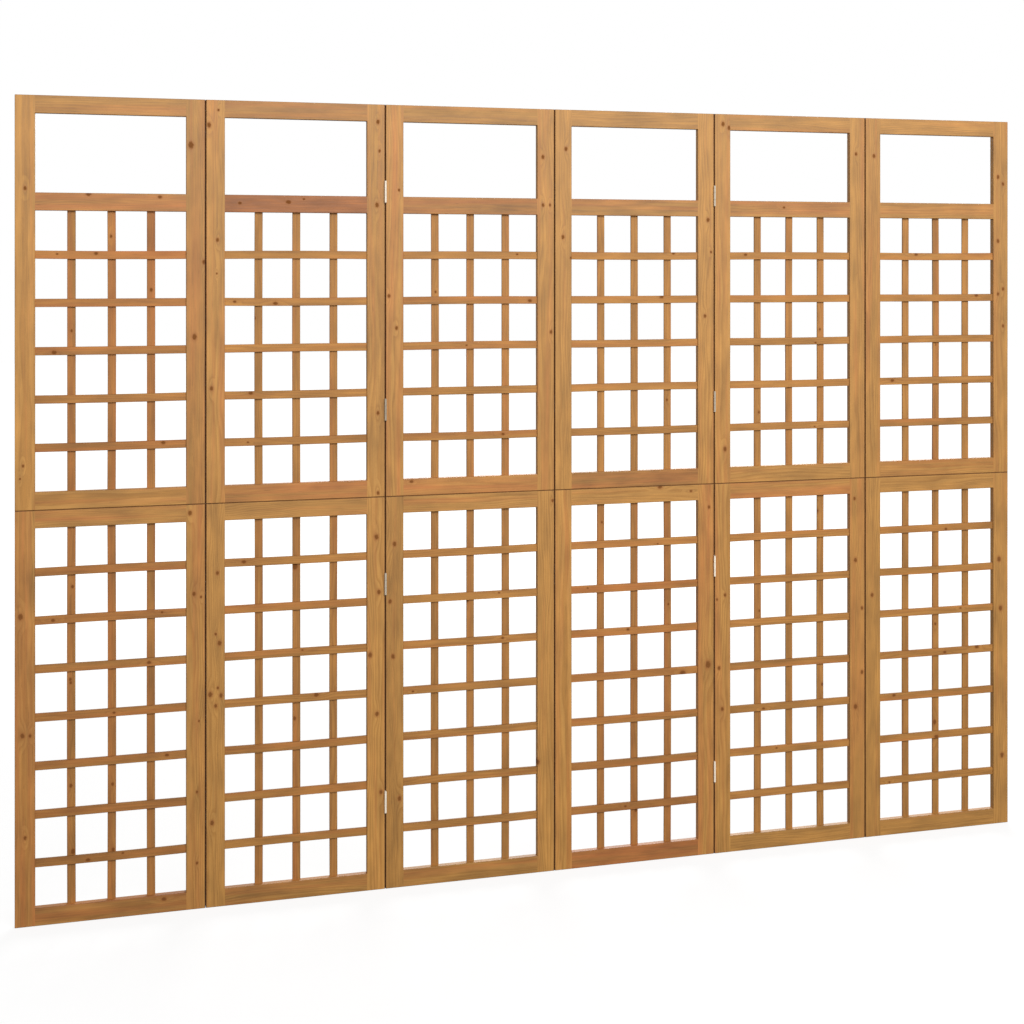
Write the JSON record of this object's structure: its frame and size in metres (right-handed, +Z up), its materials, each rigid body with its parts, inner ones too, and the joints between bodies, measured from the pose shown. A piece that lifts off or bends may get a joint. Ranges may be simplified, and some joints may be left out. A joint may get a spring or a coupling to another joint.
{
  "type": "folding room divider",
  "caption": "Free-standing folding screen of hinged wooden panels, each a plain frame with an open window above a square lattice, that folds up like a concertina.",
  "frame": {"origin": "On the floor, under the middle of the divider when its panels stand in one flat row.", "axes": "+X along the row of panels, to the right seen from the front; the front faces -Y; +Z up."},
  "size_m": [2.4294, 0.026, 1.8],
  "materials": {
    "frame_wood": "satin oiled softwood",
    "slat_wood": "satin oiled softwood",
    "hinge_steel": "bright zinc plate",
    "screw_steel": "bright zinc plate"
  },
  "bodies": {
    "panel_1": {"panel_1_stiles": "frame_wood", "panel_1_rails": "frame_wood", "panel_1_upright_slats": "slat_wood", "panel_1_cross_slats": "slat_wood", "panel_1_loose_tenons": "frame_wood", "hinges_1_2_left_plates": "hinge_steel", "hinges_1_2_left_screws": "screw_steel", "hinges_1_2_pins": "hinge_steel"},
    "panel_2": {"panel_2_stiles": "frame_wood", "panel_2_rails": "frame_wood", "panel_2_upright_slats": "slat_wood", "panel_2_cross_slats": "slat_wood", "panel_2_loose_tenons": "frame_wood", "hinges_2_3_left_plates": "hinge_steel", "hinges_2_3_left_screws": "screw_steel", "hinges_2_3_pins": "hinge_steel", "hinges_1_2_right_plates": "hinge_steel", "hinges_1_2_right_screws": "screw_steel"},
    "panel_3": {"panel_3_stiles": "frame_wood", "panel_3_rails": "frame_wood", "panel_3_upright_slats": "slat_wood", "panel_3_cross_slats": "slat_wood", "panel_3_loose_tenons": "frame_wood", "hinges_3_4_left_plates": "hinge_steel", "hinges_3_4_left_screws": "screw_steel", "hinges_3_4_pins": "hinge_steel", "hinges_2_3_right_plates": "hinge_steel", "hinges_2_3_right_screws": "screw_steel"},
    "panel_4": {"panel_4_stiles": "frame_wood", "panel_4_rails": "frame_wood", "panel_4_upright_slats": "slat_wood", "panel_4_cross_slats": "slat_wood", "panel_4_loose_tenons": "frame_wood", "hinges_4_5_left_plates": "hinge_steel", "hinges_4_5_left_screws": "screw_steel", "hinges_4_5_pins": "hinge_steel", "hinges_3_4_right_plates": "hinge_steel", "hinges_3_4_right_screws": "screw_steel"},
    "panel_5": {"panel_5_stiles": "frame_wood", "panel_5_rails": "frame_wood", "panel_5_upright_slats": "slat_wood", "panel_5_cross_slats": "slat_wood", "panel_5_loose_tenons": "frame_wood", "hinges_5_6_left_plates": "hinge_steel", "hinges_5_6_left_screws": "screw_steel", "hinges_5_6_pins": "hinge_steel", "hinges_4_5_right_plates": "hinge_steel", "hinges_4_5_right_screws": "screw_steel"},
    "panel_6": {"panel_6_stiles": "frame_wood", "panel_6_rails": "frame_wood", "panel_6_upright_slats": "slat_wood", "panel_6_cross_slats": "slat_wood", "panel_6_loose_tenons": "frame_wood", "hinges_5_6_right_plates": "hinge_steel", "hinges_5_6_right_screws": "screw_steel"}
  },
  "joints": [
    {"name": "fold_1_2", "type": "hinge", "parent": "panel_1", "child": "panel_2", "pos_m": [-0.81, 0.01051, 0.9], "axis": [0, 0, 1], "range_deg": [-1, 179]},
    {"name": "fold_2_3", "type": "hinge", "parent": "panel_2", "child": "panel_3", "pos_m": [-0.405, -0.01051, 0.9], "axis": [0, 0, -1], "range_deg": [-1, 179]},
    {"name": "fold_3_4", "type": "hinge", "parent": "panel_3", "child": "panel_4", "pos_m": [0, 0.01051, 0.9], "axis": [0, 0, 1], "range_deg": [-1, 179]},
    {"name": "fold_4_5", "type": "hinge", "parent": "panel_4", "child": "panel_5", "pos_m": [0.405, -0.01051, 0.9], "axis": [0, 0, -1], "range_deg": [-1, 179]},
    {"name": "fold_5_6", "type": "hinge", "parent": "panel_5", "child": "panel_6", "pos_m": [0.81, 0.01051, 0.9], "axis": [0, 0, 1], "range_deg": [-1, 179]}
  ]
}
